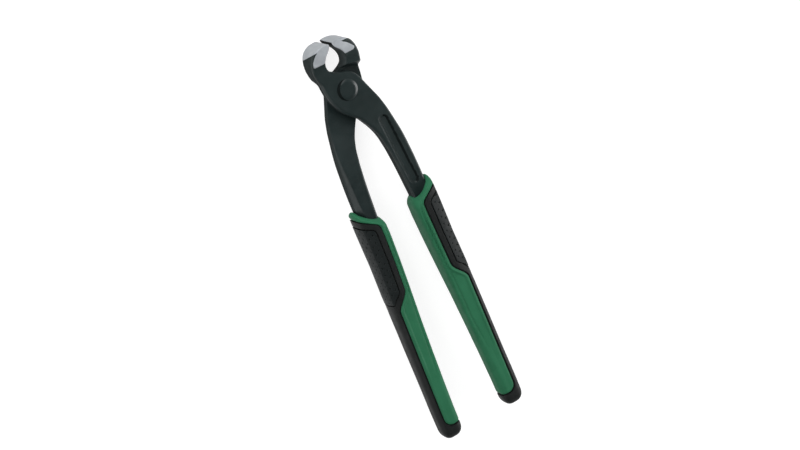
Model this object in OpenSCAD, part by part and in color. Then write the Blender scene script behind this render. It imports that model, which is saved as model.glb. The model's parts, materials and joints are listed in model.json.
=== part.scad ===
// End cutting nippers: two forged levers crossed on one rivet, with two-colour grips.
// The tool lies flat: +Y runs to the jaws and +Z is the direction of the pivot axis.
// The origin is under the middle of the tool, on the surface that it lies on.

/* [Jaws] */
// Height of the cutting edges above the pivot
edge_h = 29; // [25:0.5:36]
// Gap between the cutting edges at rest
edge_gap = 1.4; // [0.8:0.1:2.4]
// Flat land along each cutting edge
edge_land = 0.3; // [0.1:0.1:0.6]
// Width across both jaws
head_w = 30.6; // [28:0.2:36]
// Width of the jaws along the pivot axis
jaw_t = 18; // [14:0.5:20]
// Rounding of the jaws' long edges
jaw_round = 1; // [0.4:0.1:1.6]
// Rounding of the jaws' edges at the throat
throat_round = 0.3; // [0.1:0.1:0.8]

/* [Joint] */
// Thickness across the lap joint
joint_t = 12; // [10:0.5:14]
// Radius of the lap's round shoulder
boss_r = 10.6; // [9.6:0.2:11.6]
// Room between the lap's round shoulder and the jaw over it
shoulder_room = 1.9; // [1.2:0.1:3]
// Gap between the two lap faces
lap_gap = 0.1; // [0.06:0.02:0.3]
// Rounding of the joint's outer edges
joint_round = 0.8; // [0.3:0.1:1.4]
// Radius of the rivet shank
shank_r = 4; // [3:0.1:5]
// Radial fit of the rivet in the lever that holds it
fixed_fit = 0.02; // [0.01:0.01:0.04]
// Radial running fit of the rivet in the lever that turns
running_fit = 0.05; // [0.03:0.01:0.09]
// Radius of the rivet heads
rivet_head_r = 6.4; // [5.4:0.1:7.4]
// Height of the rivet heads
rivet_head_h = 1; // [0.6:0.1:1.6]
// Rounding of the rivet heads' rims
rivet_rim_r = 0.7; // [0.3:0.1:0.9]

/* [Arms] */
// Distance from the pivot to the mouth of the grips
arm_reach = 72.6; // [64:0.2:84]
// Thickness of the arms at the grips
arm_t = 9; // [7:0.5:10]
// Rounding of the arms' long edges
arm_round = 1.1; // [0.5:0.1:1.8]
// Depth of the recessed panel
panel_depth = 0.8; // [0.4:0.1:1.4]
// Width of the tang at the grip's mouth
tang_w = 8; // [6:0.5:9]
// Width of the tang at its end
tang_end_w = 5; // [3:0.5:6]
// Thickness of the tang
tang_t = 6; // [4:0.5:7]
// Length of the tang inside the grip
tang_l = 118; // [80:2:130]

/* [Grips] */
// Distance of the grip's mouth from the tool's middle line
grip_x = 18.3; // [16.5:0.1:21]
// Outward run of the grip from its mouth to its end
grip_splay = 3.4; // [1:0.1:8]
// Length of the grip
grip_l = 149.4; // [136:0.2:170]
// Width of the grip at the top
grip_top_w = 16.8; // [15:0.2:18]
// Width of the grip at the end
grip_end_w = 13.1; // [11:0.1:14]
// Thickness of the grip at the top
grip_top_t = 20; // [19:0.5:23]
// Thickness of the grip at the end
grip_end_t = 12; // [11:0.5:16]
// Length of the collar at the grip's mouth
collar_l = 5.5; // [4:0.1:8]
// Draw-in of the collar's mouth across the grip
collar_in_w = 2.4; // [1.6:0.1:2.6]
// Draw-in of the collar's mouth through the grip's thickness
collar_in_t = 4; // [3:0.1:4.4]
// Length of the rounded end
end_round_l = 7.4; // [5:0.2:10]
// Length of the black end
end_cap_l = 9.5; // [8:0.5:12]
// Thickness of the black layer
layer_t = 2.4; // [1.6:0.1:2.8]
// Thickness of the dotted pad
pad_t = 1.2; // [0.6:0.1:1.4]
// Gap at the seams between the mouldings
seam_gap = 0.06; // [0.04:0.01:0.15]
// Fit of the arm and tang in the grip
grip_fit = 0.05; // [0.02:0.01:0.15]

/* [Hidden] */

steel = [0.20, 0.22, 0.22];
green = [0.13, 0.40, 0.27];
black = [0.13, 0.14, 0.14];

// Cuts run past the faces that they cut by this much
overrun = 1;
// The lap faces keep a sharp edge with this small break
lap_break = 0.05;

// Outline of the front lever: left jaw, lap and right arm.
// Each row is one section: outer x, outer y, inner x, inner y.
shoulder_y = boss_r + shoulder_room;
jaw_shares = [
    [0.196, 1.075, 0.092, 0.897],
    [0.458, 1.048, 0.196, 0.788],
    [0.686, 0.964, 0.300, 0.685],
    [0.843, 0.830, 0.379, 0.570],
    [0.948, 0.624, 0.425, 0.455],
    [1.000, 0.364, 0.438, 0.321],
    [0.987, 0.152, 0.410, 0.190],
    [0.948, -0.030, 0.340, 0.080]
];
lap_outer_shares = [
    [-1.29, 0.80], [-1.25, 0.377], [-1.16, -0.14], [-0.965, -0.71],
    [-0.695, -1.15], [-0.37, -1.475], [-0.03, -1.78]
];
lap_arc_angles = [84, 62, 40, 18];
lap_inner_shares = concat(
    [[-0.24, 1.145]],
    [for (a = lap_arc_angles) [cos(a), sin(a)]],
    [[1.13, -0.16], [1.31, -0.625]]
);
arm_shares = [
    [0.135, 0.322, 0.880, 0.172],
    [0.283, 0.393, 0.990, 0.273],
    [0.410, 0.475, 1.078, 0.379],
    [0.508, 0.585, 1.178, 0.523],
    [0.575, 0.696, 1.230, 0.668],
    [0.620, 0.826, 1.258, 0.820],
    [0.655, 0.964, 1.265, 0.964],
    [0.690, 1.102, 1.250, 1.102]
];
half_head = head_w / 2;
jaw_rise = edge_h - shoulder_y;
outline = concat(
    [[-edge_gap / 2 - edge_land, edge_h, -edge_gap / 2, edge_h - edge_land]],
    [for (s = jaw_shares) [
        -s[0] * half_head, shoulder_y + s[1] * jaw_rise,
        -s[2] * half_head, shoulder_y + s[3] * jaw_rise
    ]],
    [for (i = [0 : len(lap_outer_shares) - 1]) [
        lap_outer_shares[i][0] * boss_r, lap_outer_shares[i][1] * boss_r,
        lap_inner_shares[i][0] * boss_r, lap_inner_shares[i][1] * boss_r
    ]],
    [for (s = arm_shares) [
        s[0] * grip_x, -s[1] * arm_reach,
        s[2] * grip_x, -s[3] * arm_reach
    ]]
);
last_row = len(outline) - 1;
first_lap_row = 1 + len(jaw_shares);
first_arm_row = first_lap_row + len(lap_outer_shares);

// Height of each section: the jaws flare out and the arm steps down to the middle.
flare_shares = [1, 1, 0.97, 0.85, 0.68, 0.45, 0.2, 0.04, 0];
step_shares = [0, 0.1, 0.4, 0.75, 1, 1, 1, 1];
lap_face = lap_gap / 2;
jaw_heights = [for (s = flare_shares) mix(joint_t, jaw_t, s) / 2];
tops = concat(
    jaw_heights,
    [for (i = lap_outer_shares) joint_t / 2],
    [for (s = step_shares) mix(joint_t, arm_t, s) / 2]
);
bottoms = concat(
    -jaw_heights,
    [for (i = lap_outer_shares) lap_face],
    [for (s = step_shares) mix(lap_face, -arm_t / 2, s)]
);
jaw_round_shares = [0.05, 0.4, 0.8, 1, 1, 1, 1, 1, 1];
throat_round_shares = [0.2, 0.6, 1, 1, 1, 1, 1, 1, 1];
jaw_rounds = [for (s = jaw_round_shares) s * jaw_round];
throat_rounds = [for (s = throat_round_shares) s * throat_round];
lower_top_rounds = concat(
    [for (i = lap_outer_shares) joint_round],
    [for (s = step_shares) mix(joint_round, arm_round, s)]
);
lower_bottom_rounds = concat(
    [for (i = lap_outer_shares) lap_break],
    [for (s = step_shares) mix(lap_break, arm_round, s)]
);
outer_top_rounds = concat(jaw_rounds, lower_top_rounds);
inner_top_rounds = concat(throat_rounds, lower_top_rounds);
outer_bottom_rounds = concat(jaw_rounds, lower_bottom_rounds);
inner_bottom_rounds = concat(throat_rounds, lower_bottom_rounds);

// Recessed panel in the arm's face: shares of the arm's run, of its width and of its round ends
panel_run_shares = [0.13, 0.855];
panel_left_shares = [0.34, 0.13];
panel_right_shares = [0.82, 0.69];
panel_end_share = 0.08;
panel_tip_share = 0.2;
panel_rows = [for (s = panel_run_shares) mix(first_arm_row, last_row, s)];
panel_end_rows = panel_end_share * (last_row - first_arm_row);
panel_steps = 22;

// Shape of the grip along its length, from the mouth to the end.
splay_shares = [[0, 0], [0.08, 0.01], [0.21, 0.1], [0.35, 0.36], [0.62, 0.7], [0.88, 0.98], [1, 1]];
width_shares = [[0, 0], [0.1, 0], [0.22, 0.26], [0.35, 0.34], [0.48, 0.59], [0.75, 0.88], [1, 1]];
thickness_shares = [[0, 0], [0.15, 0], [0.22, 0.04], [0.35, 0.2], [0.48, 0.44], [0.75, 0.8], [1, 1]];
// Slope of the mouth across the grip, and the share of the length where it dies out
mouth_slope = 2 / 3;
slope_run_share = 0.2;
// Power of the grip's rounded box section and of its rounded end
section_power = 4;
end_power = 2.6;
// Seam of the black layer and edge of the pad, as shares of the half width
seam_side_shares = [-0.40, 0.57, 0.47];
seam_turn_shares = [0.325, 0.418];
pad_side_shares = [0.06, 0.62];
pad_turn_shares = [0.33, 0.372];
pad_margin_share = 0.026;
collar_share = collar_l / grip_l;
end_share = 1 - end_cap_l / grip_l;
pad_start_share = collar_share + pad_margin_share;
pad_end_share = 0.378;
// Counts of the steps along and round the grip, and between the lever's rows
collar_steps = 5;
grip_form_steps = 22;
end_steps = 6;
end_turn = 88;
grip_sides = 24;
layer_sides = 14;
tang_steps = 8;
section_steps = 2;
round_sides = 64;

// Places the tool, drawn about its pivot, over the origin
top_y = max([for (s = sections()) max(s[0][1], s[1][1])]);
low_y = -arm_reach - grip_l;
module place() {
    translate([0, -(top_y + low_y) / 2, grip_top_t / 2]) children();
}

function mix(a, b, t) = a + (b - a) * t;
function ease(t) = let (c = min(max(t, 0), 1)) c * c * (3 - 2 * c);
function signed_power(c, p) = sign(c) * pow(abs(c), p);

// Smooth curve through a list of rows, at a row number that may lie between rows
function curve(rows, t) =
    let (
        n = len(rows) - 1,
        i = min(floor(t), n - 1),
        f = t - i,
        a = rows[max(i - 1, 0)],
        b = rows[i],
        c = rows[i + 1],
        d = rows[min(i + 2, n)]
    )
    (2 * b + (c - a) * f + (2 * a - 5 * b + 4 * c - d) * f * f + (3 * b - a - 3 * c + d) * f * f * f) / 2;

// Straight run through a list of rows
function run(rows, t) =
    let (i = min(floor(t), len(rows) - 2))
    mix(rows[i], rows[i + 1], t - i);

// Outer and inner points of the lever's section at a row number
function edges(t) =
    let (p = curve(outline, t))
    [[p[0], p[1]], [p[2], p[3]]];
function sections() = [for (k = [0 : last_row * section_steps]) edges(k / section_steps)];

// Eight points round the lever's section at a row number
function lever_section(t) =
    let (
        e = edges(t),
        u = (e[1] - e[0]) / norm(e[1] - e[0]),
        zt = run(tops, t),
        zb = run(bottoms, t),
        outer_top = run(outer_top_rounds, t),
        inner_top = run(inner_top_rounds, t),
        outer_bottom = run(outer_bottom_rounds, t),
        inner_bottom = run(inner_bottom_rounds, t)
    )
    [
        each_at(e[0] + u * outer_bottom, zb), each_at(e[1] - u * inner_bottom, zb),
        each_at(e[1], zb + inner_bottom), each_at(e[1], zt - inner_top),
        each_at(e[1] - u * inner_top, zt), each_at(e[0] + u * outer_top, zt),
        each_at(e[0], zt - outer_top), each_at(e[0], zb + outer_bottom)
    ];
function each_at(p, z) = [p[0], p[1], z];

// Closed solid through a list of rings with the same number of points
module loft(rings) {
    n = len(rings[0]);
    m = len(rings);
    polyhedron(
        points = [for (r = rings) each r],
        faces = concat(
            [[for (j = [0 : n - 1]) j]],
            [for (i = [0 : m - 2], j = [0 : n - 1]) let (k = (j + 1) % n) each [
                [i * n + j, (i + 1) * n + j, i * n + k],
                [i * n + k, (i + 1) * n + j, (i + 1) * n + k]
            ]],
            [[for (j = [n - 1 : -1 : 0]) (m - 1) * n + j]]
        )
    );
}

// Closed solid between an outer and an inner sheet of points
module layer(outer, inner) {
    m = len(outer);
    n = len(outer[0]);
    rim = [for (i = [0 : m - 1]) concat(outer[i], [for (j = [n - 1 : -1 : 0]) inner[i][j]])];
    w = 2 * n;
    last = (m - 1) * w;
    polyhedron(
        points = [for (r = rim) each r],
        faces = concat(
            [for (i = [0 : m - 2], j = [0 : w - 1]) let (k = (j + 1) % w) each [
                [i * w + j, (i + 1) * w + j, i * w + k],
                [i * w + k, (i + 1) * w + j, (i + 1) * w + k]
            ]],
            [for (j = [0 : n - 2]) each [
                [j, j + 1, w - 1 - j],
                [j + 1, w - 2 - j, w - 1 - j]
            ]],
            [for (j = [0 : n - 2]) each [
                [last + j, last + w - 1 - j, last + j + 1],
                [last + j + 1, last + w - 1 - j, last + w - 2 - j]
            ]]
        )
    );
}

// Grip shape at a share of its length
function grip_mid(v) = grip_x + grip_splay * lookup(v, splay_shares);
function grip_y(v) = -arm_reach - v * grip_l;
function grip_slope(v) = mouth_slope * (1 - ease(v / slope_run_share));
function end_scale(v) =
    let (e = max(0, (v - 1) * grip_l / end_round_l + 1))
    pow(max(0, 1 - pow(e, end_power)), 1 / end_power);
function collar_draw(v) =
    let (e = max(0, 1 - v / collar_share))
    1 - sqrt(1 - e * e);
function half_w(v) =
    (mix(grip_top_w, grip_end_w, lookup(v, width_shares)) / 2 - collar_in_w * collar_draw(v)) * end_scale(v);
function half_t(v) =
    (mix(grip_top_t, grip_end_t, lookup(v, thickness_shares)) / 2 - collar_in_t * collar_draw(v)) * end_scale(v);

// Point on the right grip's surface, or a depth below it, at an angle from its outer side
function grip_point(v, angle, depth) =
    let (
        x = (half_w(v) - depth) * signed_power(cos(angle), 2 / section_power),
        z = (half_t(v) - depth) * signed_power(sin(angle), 2 / section_power)
    )
    [grip_mid(v) + x, grip_y(v) + grip_slope(v) * x, z];

// Angle at which the grip's front face has a share of its half width
function face_angle(share) = acos(signed_power(share, section_power / 2));

// Seam of the black layer and edge of the pad, as angles
function seam_angle(v) =
    let (
        turn = ease((v - seam_turn_shares[0]) / (seam_turn_shares[1] - seam_turn_shares[0])),
        below = (v - seam_turn_shares[1]) / (1 - seam_turn_shares[1]),
        low = mix(seam_side_shares[1], seam_side_shares[2], max(below, 0))
    )
    face_angle(mix(seam_side_shares[0], low, turn));
function pad_angle(v) =
    let (turn = ease((v - pad_turn_shares[0]) / (pad_turn_shares[1] - pad_turn_shares[0])))
    face_angle(mix(pad_side_shares[0], pad_side_shares[1], turn));

// Angle that a gap takes at the grip's side
function gap_angle(v, gap) = gap / half_w(v) * 180 / PI;

// Rows along the grip, close together at the collar and at the rounded end
grip_rows = concat(
    [for (k = [0 : collar_steps]) collar_share * (1 - cos(k * 90 / collar_steps))],
    [for (k = [1 : grip_form_steps]) mix(collar_share, 1 - end_round_l / grip_l, k / grip_form_steps)],
    [for (k = [1 : end_steps]) 1 - end_round_l / grip_l * (1 - sin(k * end_turn / end_steps))]
);
function rows_between(a, b) = concat([a], [for (v = grip_rows) if (v > a && v < b) v], [b]);

module grip_form() {
    loft([for (v = grip_rows) [
        for (j = [0 : grip_sides - 1]) grip_point(v, j * 360 / grip_sides, 0)
    ]]);
}

// Sheet of points on the grip between two rows, as wide as the seam or the pad
function seam_sheet(a, b, gap, depth) =
    [for (v = rows_between(a, b)) let (w = seam_angle(v) - gap_angle(v, gap)) [
        for (j = [0 : layer_sides]) grip_point(v, mix(-w, w, j / layer_sides), depth)
    ]];
function pad_sheet(a, b, gap, depth) =
    [for (v = rows_between(a, b)) let (w = pad_angle(v) - gap_angle(v, gap)) [
        for (j = [0 : layer_sides]) grip_point(v, mix(-w, w, j / layer_sides), depth)
    ]];

// Space that the black layer takes, with its end
module layer_space() {
    layer(
        seam_sheet(collar_share, end_share + seam_gap / grip_l, 0, -overrun),
        seam_sheet(collar_share, end_share + seam_gap / grip_l, 0, layer_t)
    );
    end_space(0);
}

// Everything past the start of the black end
module end_space(gap) {
    start_y = grip_y(end_share) - gap;
    translate([grip_x - grip_top_w, low_y - overrun, -grip_top_t])
        cube([2 * grip_top_w + grip_splay, start_y - low_y + overrun, 2 * grip_top_t]);
}

// Outline of the tang along the grip's middle, grown by a fit
function tang_side(k, side, fit) =
    let (v = k * tang_l / grip_l)
    [grip_mid(v) + side * (mix(tang_w, tang_end_w, k) / 2 + fit), grip_y(v)];
module tang(fit) {
    last = grip_y(tang_l / grip_l) - fit;
    linear_extrude(height = tang_t + 2 * fit, center = true)
        polygon(concat(
            [for (k = [0 : tang_steps]) tang_side(k / tang_steps, -1, fit)],
            [[grip_mid(tang_l / grip_l), last]],
            [for (k = [tang_steps : -1 : 0]) tang_side(k / tang_steps, 1, fit)]
        ));
}

// Socket for the arm's own end in the grip's mouth
module arm_socket() {
    first = last_row - 2;
    stations = [for (k = [first * section_steps : last_row * section_steps]) edges(k / section_steps)];
    end_y = stations[len(stations) - 1][0][1] - grip_fit;
    linear_extrude(height = arm_t + 2 * grip_fit, center = true)
        polygon(concat(
            [for (s = stations) s[0] - [grip_fit, 0]],
            [[stations[len(stations) - 1][0][0] - grip_fit, end_y]],
            [[stations[len(stations) - 1][1][0] + grip_fit, end_y]],
            [for (i = [len(stations) - 1 : -1 : 0]) stations[i][1] + [grip_fit, 0]]
        ));
}

// Recess in the arm's face, with round ends
module panel_cut() {
    rings = [for (k = [0 : panel_steps]) let (
        f = (1 - cos(k * 180 / panel_steps)) / 2,
        t = mix(panel_rows[0], panel_rows[1], f),
        to_end = min(t - panel_rows[0], panel_rows[1] - t) / panel_end_rows,
        e = 1 - min(to_end, 1),
        open = max(sqrt(1 - e * e), panel_tip_share),
        middle = (mix(panel_left_shares[0], panel_left_shares[1], f)
            + mix(panel_right_shares[0], panel_right_shares[1], f)) / 2,
        half = (mix(panel_right_shares[0], panel_right_shares[1], f)
            - mix(panel_left_shares[0], panel_left_shares[1], f)) / 2 * open,
        p = edges(t),
        left = mix(p[0], p[1], middle - half),
        right = mix(p[0], p[1], middle + half),
        z = run(tops, t)
    ) [
        each_at(left, z - panel_depth), each_at(right, z - panel_depth),
        each_at(right, z + overrun), each_at(left, z + overrun)
    ]];
    loft(rings);
}

// One forged lever, drawn as the front one; fit is the radial fit of its bore
module lever(fit) {
    difference() {
        union() {
            loft([for (k = [0 : last_row * section_steps]) lever_section(k / section_steps)]);
            tang(0);
        }
        panel_cut();
        cylinder(r = shank_r + fit, h = 2 * joint_t, center = true, $fn = round_sides);
    }
}

module front_lever() {
    color(steel) place() lever(fixed_fit);
}

module back_lever() {
    color(steel) place() rotate([0, 180, 0]) lever(running_fit);
}

// Half outline of one rivet head above the face that it sits on
function rivet_head(face) = concat(
    [[0, face], [rivet_head_r, face]],
    [for (a = [0 : 15 : 90]) [
        rivet_head_r - rivet_rim_r + rivet_rim_r * cos(a),
        face + rivet_head_h - rivet_rim_r + rivet_rim_r * sin(a)
    ]],
    [[0, face + rivet_head_h]]
);

module pivot_rivet() {
    front_face = joint_t / 2;
    back_face = joint_t / 2 + running_fit;
    color(steel) place() {
        translate([0, 0, -back_face]) cylinder(r = shank_r, h = front_face + back_face, $fn = round_sides);
        rotate_extrude($fn = round_sides) polygon(rivet_head(front_face));
        mirror([0, 0, 1]) rotate_extrude($fn = round_sides) polygon(rivet_head(back_face));
    }
}

module grip_sleeve() {
    difference() {
        grip_form();
        layer_space();
        tang(grip_fit);
        arm_socket();
    }
}

module grip_overmould() {
    difference() {
        union() {
            layer(
                seam_sheet(collar_share + seam_gap / grip_l, end_share + overrun / grip_l, seam_gap, 0),
                seam_sheet(collar_share + seam_gap / grip_l, end_share + overrun / grip_l, seam_gap,
                    layer_t - seam_gap)
            );
            intersection() {
                grip_form();
                end_space(seam_gap);
            }
        }
        layer(
            pad_sheet(pad_start_share, pad_end_share, 0, -overrun),
            pad_sheet(pad_start_share, pad_end_share, 0, pad_t)
        );
    }
}

module grip_pad() {
    layer(
        pad_sheet(pad_start_share + seam_gap / grip_l, pad_end_share - seam_gap / grip_l, seam_gap, 0),
        pad_sheet(pad_start_share + seam_gap / grip_l, pad_end_share - seam_gap / grip_l, seam_gap,
            pad_t - seam_gap)
    );
}

module right_grip_sleeve() {
    color(green) place() grip_sleeve();
}

module right_grip_overmould() {
    color(black) place() grip_overmould();
}

module right_grip_pad() {
    color(black) place() grip_pad();
}

module left_grip_sleeve() {
    color(green) place() mirror([1, 0, 0]) grip_sleeve();
}

module left_grip_overmould() {
    color(black) place() mirror([1, 0, 0]) grip_overmould();
}

module left_grip_pad() {
    color(black) place() mirror([1, 0, 0]) grip_pad();
}

front_lever();
back_lever();
pivot_rivet();
right_grip_sleeve();
right_grip_overmould();
right_grip_pad();
left_grip_sleeve();
left_grip_overmould();
left_grip_pad();
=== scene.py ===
"""End cutting nippers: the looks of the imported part, in the frame of its solids.

Sizes are millimetres about the pivot, apart from the stage: +X right, +Y to the jaws, +Z up the pivot axis.
Points become metres in the part's frame when a mesh is made.
"""

import json
import math

import bmesh
import bpy
import numpy as np
from mathutils import Matrix, Vector


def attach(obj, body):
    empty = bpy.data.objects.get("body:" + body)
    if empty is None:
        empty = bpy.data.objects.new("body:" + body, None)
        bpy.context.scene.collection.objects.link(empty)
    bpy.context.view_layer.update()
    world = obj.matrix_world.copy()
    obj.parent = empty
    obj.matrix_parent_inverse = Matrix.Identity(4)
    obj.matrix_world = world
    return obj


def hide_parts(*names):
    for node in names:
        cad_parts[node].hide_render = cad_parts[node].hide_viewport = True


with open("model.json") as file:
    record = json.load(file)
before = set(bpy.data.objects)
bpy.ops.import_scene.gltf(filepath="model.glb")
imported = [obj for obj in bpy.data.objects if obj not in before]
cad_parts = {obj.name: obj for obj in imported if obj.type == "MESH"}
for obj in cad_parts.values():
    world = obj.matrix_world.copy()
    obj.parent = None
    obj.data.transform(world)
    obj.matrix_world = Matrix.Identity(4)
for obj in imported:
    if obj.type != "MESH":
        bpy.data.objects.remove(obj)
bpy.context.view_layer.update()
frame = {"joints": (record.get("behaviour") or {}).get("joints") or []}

MM = 0.001
PIVOT = np.array(frame["joints"][0]["pos_m"])

# Jaws
EDGE_H = 29
EDGE_GAP = 1.8
EDGE_LAND = 0.3
EDGE_RISE = 0.65
HEAD_W = 30.6
JAW_T = 18.8
JAW_ROUND = 1
THROAT_ROUND = 0.3

# Joint
JOINT_T = 12
BOSS_R = 10.6
SHOULDER_RISE = 1.9
SHOULDER_Y = BOSS_R + SHOULDER_RISE
LAP_FACE = 0.05
JOINT_ROUND = 0.8
LAP_BEVEL = 1.8
LAP_BREAK = 0.05
BORE_R = 4.05
BORE_NEAR = 0.1
SHANK_R = 4
RIVET_HEAD_R = 6.4
RIVET_HEAD_H = 1
RIVET_RIM_W = 1.9
RIVET_RIM_H = 0.85
RIVET_EDGE = 0.25
RIVET_DISH = 0.1
RIVET_RIM_POWER = 1.5
RIVET_RIM_STEPS = [1, 0.97, 0.9, 0.8, 0.7, 0.6, 0.5, 0.4, 0.3, 0.2, 0.1, 0]
RIVET_DISH_STEPS = [0.85, 0.7, 0.5, 0.3, 0.1]
RIVET_SIDES = 96

# Painted shade on the rivet's rim, a dark crescent: the direction of its middle and its greatest width
RIVET_SHADE_ANGLE = 168
RIVET_SHADE_W = 1.6

# Arms
ARM_REACH = 72.6
ARM_T = 9
ARM_ROUND = 1.3
ARM_BEVEL_W = 3.7
ARM_BEVEL_H = 2.4
PANEL_DEPTH = 0.95
PANEL_WALLS = [1.9, 1.2]

# Grips
GRIP_X = 18.3
GRIP_SPLAY = 3.4
GRIP_L = 149.4
GRIP_TOP_W = 16.8
GRIP_END_W = 13.08
GRIP_TOP_T = 20
GRIP_END_T = 12
COLLAR_L = 5.5
COLLAR_IN_W = 2.4
COLLAR_IN_T = 4
END_ROUND_L = 7.4
END_CAP_L = 8.7
LAYER_T = 2.4
PAD_T = 1.2
SEAM_GAP = 0.75
HALF_GAP = SEAM_GAP / 2

# Outline of the front lever, in shares of the sizes that each stretch follows:
# outer x, outer y, inner x, inner y
JAW_SHARES = [
    [0.196, 1.064, 0.105, 0.897],
    [0.458, 1.048, 0.196, 0.788],
    [0.686, 0.964, 0.300, 0.685],
    [0.843, 0.830, 0.379, 0.570],
    [0.948, 0.624, 0.425, 0.455],
    [1.000, 0.364, 0.438, 0.321],
    [0.987, 0.152, 0.410, 0.190],
    [0.948, -0.030, 0.340, 0.080],
]
LAP_OUTER_SHARES = [
    [-1.29, 0.80], [-1.25, 0.377], [-1.16, -0.14], [-0.965, -0.71],
    [-0.695, -1.15], [-0.37, -1.475], [-0.03, -1.78],
]
LAP_ARC_ANGLES = [84, 62, 40, 18]
LAP_INNER_SHARES = (
    [[-0.24, 1.145]]
    + [[math.cos(math.radians(a)), math.sin(math.radians(a))] for a in LAP_ARC_ANGLES]
    + [[1.13, -0.16], [1.31, -0.625]]
)
ARM_SHARES = [
    [0.135, 0.322, 0.880, 0.172],
    [0.283, 0.393, 0.990, 0.273],
    [0.410, 0.475, 1.078, 0.379],
    [0.508, 0.585, 1.178, 0.523],
    [0.575, 0.696, 1.230, 0.668],
    [0.620, 0.826, 1.258, 0.820],
    [0.655, 0.964, 1.265, 0.964],
    [0.690, 1.102, 1.250, 1.102],
]

# Flare of the jaw, step down to the arm and rounds of the jaw's edges, row by row
FLARE_SHARES = [1, 1, 0.97, 0.85, 0.68, 0.45, 0.2, 0.04, 0]
STEP_SHARES = [0, 0.1, 0.4, 0.75, 1, 1, 1, 1]
JAW_ROUND_SHARES = [0.03, 0.2, 0.6, 1, 1, 1, 1, 1, 1]
THROAT_ROUND_SHARES = [0.2, 0.6, 1, 1, 1, 1, 1, 1, 1]

# Recessed panel in the arm: its ends, its middle line, its half width and the cosine of its lean
PANEL_START = -22.6
PANEL_END = -69.6
PANEL_MIDDLE_SHARES = [[0, 0.71], [0.3, 0.785], [0.6, 0.84], [1, 0.94]]
PANEL_HALF_W = 3.2
PANEL_LEAN = 0.985

# The panel's walls have steels of their own this far aside and between these shares of its depth: painted
# shade on the outer wall and a lighter steel, painted light, on the inner wall
PANEL_SHADE_START = 0.6
PANEL_SHADE_DEPTHS = [0.08, 0.98]

# Shape of the grip along its length
SPLAY_SHARES = [[0, 0], [0.08, 0.01], [0.21, 0.1], [0.35, 0.36], [0.62, 0.7], [0.88, 0.98], [1, 1]]
WIDTH_SHARES = [[0, 0], [0.1, 0], [0.22, 0.26], [0.35, 0.34], [0.48, 0.59], [0.75, 0.88], [1, 1]]
THICKNESS_SHARES = [[0, 0], [0.15, 0], [0.22, 0.04], [0.35, 0.2], [0.48, 0.44], [0.75, 0.8], [1, 1]]
MOUTH_SLOPE = 2 / 3
SLOPE_RUN_SHARE = 0.2
CREASE_X_SHARE = 0.84
CREASE_Z_SHARE = 0.83
CREASE_Z_POWER = 1.5
CREASE_ANGLE = 50
CREASE_RUN_SHARES = [0.36, 0.48]
SIDE_POWER = 3.6
INNER_POWER_SHARES = [[0, 4], [0.25, 5], [0.45, 4.5], [0.65, 4], [1, 3.6]]
END_POWER = 2.3
MOUTH_DIP = 2.3
SEAM_SIDE_SHARES = [-0.40, 0.57, 0.47]
SEAM_TURN_SHARES = [0.332, 0.418]
PAD_SIDE_SHARES = [0.06, 0.62]
PAD_TURN_SHARES = [0.33, 0.372]
PAD_START_SHARE = 0.026
PAD_END_SHARE = 0.378
PAD_START_L = COLLAR_L + PAD_START_SHARE * GRIP_L
PAD_END_L = PAD_END_SHARE * GRIP_L

# Distances that count as none
CUT_NEAR = 1e-5
WELD_NEAR = 1e-4

# How far rows of heights are eased, and the angles in degrees above which edges stay sharp
ROW_EASE = 0.5
SHARP_STEEL = 40
SHARP_MOULDED = 55


def mix(a, b, t):
    return a + (b - a) * t


def ease(t):
    t = np.clip(t, 0, 1)
    return t * t * (3 - 2 * t)


def curve(rows, t):
    """Smooth curve through rows of numbers, at row numbers that may lie between rows."""
    rows = np.asarray(rows, float)
    last = len(rows) - 1
    i = np.minimum(np.floor(t).astype(int), last - 1)
    f = (t - i)[:, None]
    a, b, c, d = (rows[np.clip(i + k, 0, last)] for k in (-1, 0, 1, 2))
    return (2 * b + (c - a) * f + (2 * a - 5 * b + 4 * c - d) * f**2 + (3 * b - a - 3 * c + d) * f**3) / 2


def run(values, t):
    return np.interp(t, np.arange(len(values)), values)


def smooth_run(values, t):
    """Values between rows, eased so that faces bend softly at the rows."""
    i = np.floor(t)
    return run(values, i + mix(t - i, ease(t - i), ROW_EASE))


def look_up(shares, v):
    return np.interp(v, *np.array(shares).T)


def round_corner(a, b, r):
    """Distance inside both of two edges, with their corner rounded."""
    corner = r - np.hypot(np.maximum(r - a, 0), np.maximum(r - b, 0))
    nearest = np.minimum(a, b)
    return np.where(nearest > r, nearest, corner)


# Flat sheets of points (u, v) that are cut along lines and then laid on a surface

def flat_sheet(us, vs):
    bm = bmesh.new()
    rows = [[bm.verts.new((u, v, 0)) for u in us] for v in vs]
    for low, high in zip(rows, rows[1:]):
        for a, b, c, d in zip(low, low[1:], high[1:], high):
            bm.faces.new((a, b, c, d))
    return bm


def flat_points(bm):
    return np.array([v.co[:2] for v in bm.verts], float).T


def cut(bm, field, levels, keep=None):
    """Cuts a flat sheet where field(u, v) reaches each level, and keeps a side if one is named."""
    for level in levels:
        for vert, height in zip(bm.verts, field(*flat_points(bm))):
            vert.co.z = height
        bmesh.ops.bisect_plane(
            bm, geom=bm.verts[:] + bm.edges[:] + bm.faces[:], dist=CUT_NEAR,
            plane_co=(0, 0, level), plane_no=(0, 0, 1),
            clear_inner=keep == "above", clear_outer=keep == "below",
        )


def lay(bm, points):
    for vert, point in zip(bm.verts, points):
        vert.co = point


def join(bm, other):
    """Adds the other mesh's vertices and faces to the first."""
    made = {v: bm.verts.new(v.co) for v in other.verts}
    for face in other.faces:
        bm.faces.new([made[v] for v in face.verts]).material_index = face.material_index
    other.free()


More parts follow.
